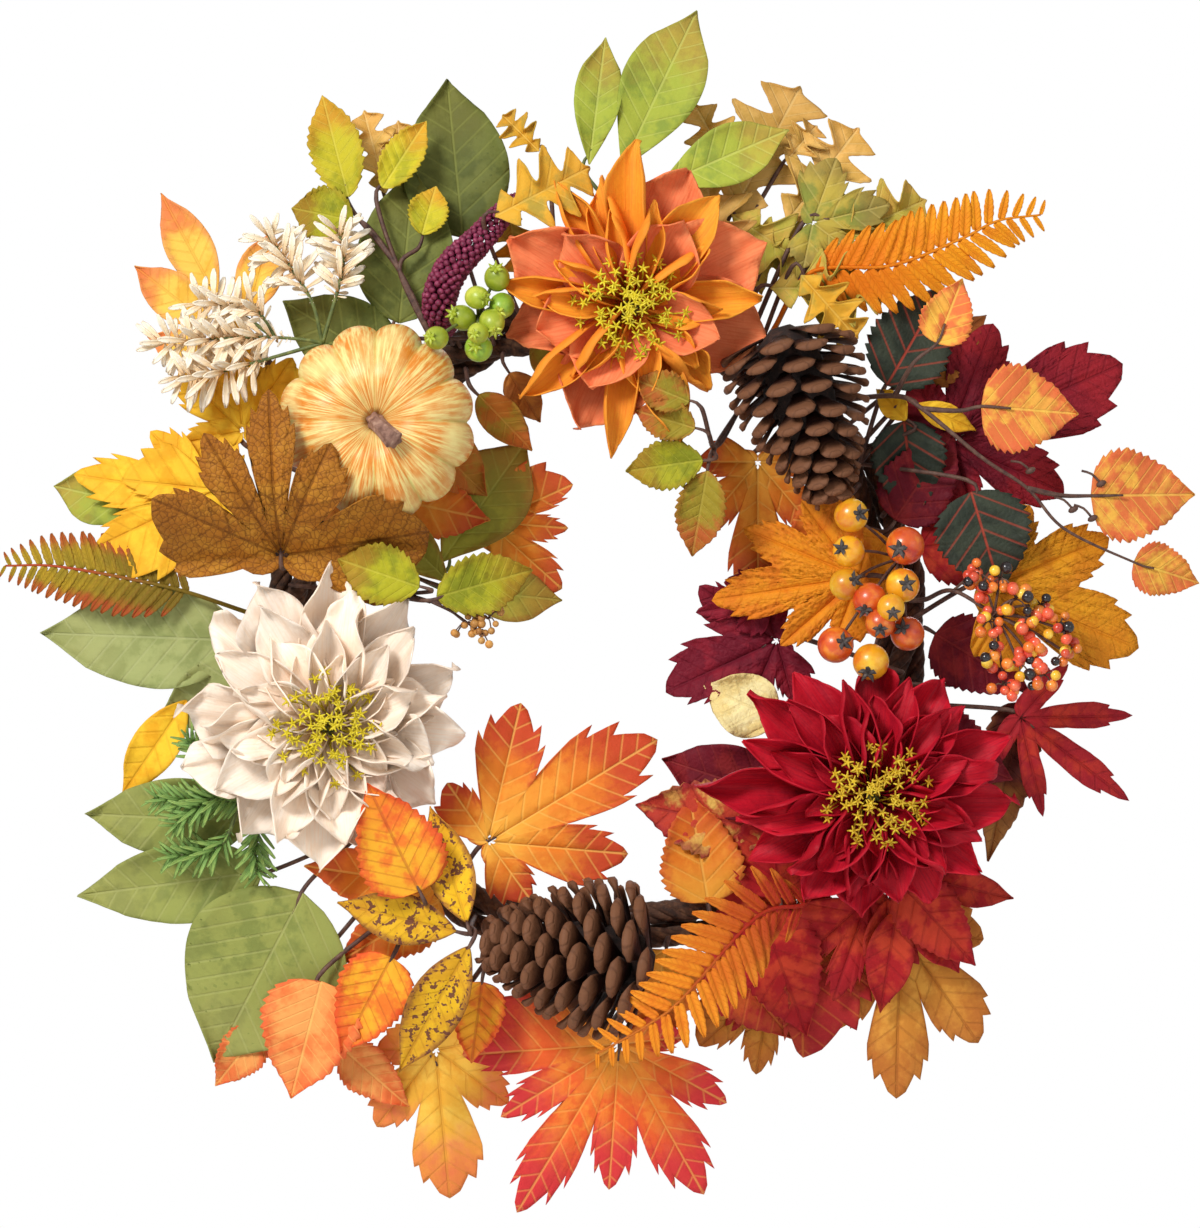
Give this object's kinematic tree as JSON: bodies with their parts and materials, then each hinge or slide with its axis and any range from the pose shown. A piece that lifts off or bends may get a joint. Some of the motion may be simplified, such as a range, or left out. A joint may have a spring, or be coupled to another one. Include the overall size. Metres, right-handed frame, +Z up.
{
  "type": "harvest door wreath",
  "caption": "Round door wreath on a twisted vine ring, with wired autumn leaves, flower heads, pine cones, a pumpkin, berries and ferns, hung by a swinging wire loop.",
  "frame": {"origin": "inside top of the hanging loop's eye, where the door hook carries the wreath, in the middle plane of the vine ring", "axes": "+Z up as hung, -Y out of the wreath's front, +X to the right of a person facing the wreath"},
  "size_m": [0.5633, 0.1213, 0.5695],
  "materials": {
    "amaranth": "matt seeds",
    "birch_leaf": "printed polyester cloth",
    "bronze_maple": "printed polyester cloth",
    "bronze_rose": "printed polyester cloth",
    "burgundy_maple": "printed polyester cloth",
    "coleus_leaf": "printed polyester cloth",
    "coral_petal": "printed polyester cloth",
    "cream_leaf": "printed polyester cloth",
    "cream_petal": "printed polyester cloth",
    "crimson_maple": "printed polyester cloth",
    "crinkled_maple": "printed polyester cloth",
    "fatsia_leaf": "printed polyester cloth",
    "fern_flame": "matt moulded",
    "fern_olive": "matt moulded",
    "fern_orange": "matt moulded",
    "flame_maple": "printed polyester cloth",
    "floret": "soft moulded",
    "gold_maple": "printed polyester cloth",
    "green_maple": "printed polyester cloth",
    "hawthorn_berry": "glossy lacquer",
    "laurel_leaf": "printed polyester cloth",
    "magnolia_leaf": "printed polyester cloth",
    "mustard_maple": "printed polyester cloth",
    "oak_leaf": "printed polyester cloth",
    "orange_maple": "printed polyester cloth",
    "orange_petal": "printed polyester cloth",
    "pine_cone": "dry natural scales",
    "pumpkin_skin": "satin painted foam",
    "pumpkin_stalk": "matt painted foam",
    "red_leaf": "printed polyester cloth",
    "red_maple": "printed polyester cloth",
    "red_petal": "printed polyester cloth",
    "rose_leaf": "printed polyester cloth",
    "rosehip": "satin lacquer",
    "rosemary": "satin moulded",
    "speckled_leaf": "printed polyester cloth",
    "spray_berry": "glossy lacquer",
    "stamen": "satin moulded",
    "vine": "dull bark",
    "willow_leaf": "printed polyester cloth",
    "wire": "dark green paper-wrapped wire",
    "yellow_maple": "printed polyester cloth"
  },
  "bodies": {
    "wreath": {"amaranth_spike": "amaranth", "birch_sprig": "birch_leaf", "bronze_maple_leaf": "bronze_maple", "bronze_rose_sprig": "bronze_rose", "burgundy_maple_leaf": "burgundy_maple", "coleus_sprig": "coleus_leaf", "cream_flower_inner_petals": "cream_petal", "cream_flower_outer_petals": "cream_petal", "cream_flower_stamens": "stamen", "cream_flower_stem": "wire", "crimson_maple_inner": "crimson_maple", "crinkled_maple_leaf": "crinkled_maple", "fatsia_leaf": "fatsia_leaf", "fern_lower": "fern_flame", "flame_maple_leaf": "flame_maple", "floret_spray": "floret", "gold_maple_leaf": "gold_maple", "green_maple_leaf": "green_maple", "hawthorn_pick": "hawthorn_berry", "laurel_sprig_left": "laurel_leaf", "laurel_sprig_top": "laurel_leaf", "lower_pine_cone": "pine_cone", "magnolia_leaf_left": "magnolia_leaf", "magnolia_sprig_lower": "magnolia_leaf", "magnolia_sprig_top": "magnolia_leaf", "mixed_leaf_pick": "cream_leaf", "mustard_maple_leaf": "mustard_maple", "oak_sprig": "oak_leaf", "orange_flower_inner_petals": "coral_petal", "orange_flower_outer_petals": "orange_petal", "orange_flower_stamens": "stamen", "orange_flower_stem": "wire", "orange_maple_inner": "orange_maple", "orange_maple_right": "orange_maple", "pumpkin": "pumpkin_skin", "pumpkin_stalk": "pumpkin_stalk", "red_flower_inner_petals": "red_petal", "red_flower_outer_petals": "red_petal", "red_flower_stamens": "stamen", "red_flower_stem": "wire", "red_maple_leaf": "red_maple", "red_sprig": "red_leaf", "rose_berry_pick": "rose_leaf", "rosehip_pick": "rosehip", "speckled_sprig": "speckled_leaf", "tie_wire_left": "wire", "tie_wire_right": "wire", "upper_pine_cone": "pine_cone", "vine_strand_1": "vine", "vine_strand_2": "vine", "vine_strand_3": "vine", "willow_sprig": "willow_leaf", "yellow_maple_sprig": "yellow_maple", "yellow_rose_sprig": "rose_leaf"},
    "hanging_loop": {"hanging_loop": "wire"},
    "birch_spray": {"birch_spray": "birch_leaf"},
    "berry_spray": {"berry_spray": "spray_berry"},
    "fern_left": {"fern_left": "fern_olive"},
    "rosemary_sprig": {"rosemary_sprig": "rosemary"},
    "fern_upper_right": {"fern_upper_right": "fern_orange"}
  },
  "joints": [
    {"name": "hanging_loop_swing", "type": "hinge", "parent": "wreath", "child": "hanging_loop", "pos_m": [-0.00759, 0, -0.0436], "axis": [0.9986, 0, 0.0523], "range_deg": [-150, 0]},
    {"name": "birch_spray_bend", "type": "hinge", "parent": "wreath", "child": "birch_spray", "pos_m": [0.11078, -0.0174, -0.08142], "axis": [-0.1392, 0, -0.9903], "range_deg": [0, 18]},
    {"name": "berry_spray_bend", "type": "hinge", "parent": "wreath", "child": "berry_spray", "pos_m": [0.14843, -0.0174, -0.17541], "axis": [-0.0872, 0, -0.9962], "range_deg": [0, 20]},
    {"name": "fern_left_bend", "type": "hinge", "parent": "wreath", "child": "fern_left", "pos_m": [-0.14691, -0.0174, -0.18327], "axis": [0.0872, 0, 0.9962], "range_deg": [0, 10]},
    {"name": "rosemary_sprig_bend", "type": "hinge", "parent": "wreath", "child": "rosemary_sprig", "pos_m": [-0.13187, -0.0174, -0.25559], "axis": [-0.4067, 0, 0.9136], "range_deg": [0, 10]},
    {"name": "fern_upper_right_bend", "type": "hinge", "parent": "wreath", "child": "fern_upper_right", "pos_m": [0.08489, -0.0174, -0.06716], "axis": [0.5299, 0, -0.848], "range_deg": [0, 8]}
  ]
}
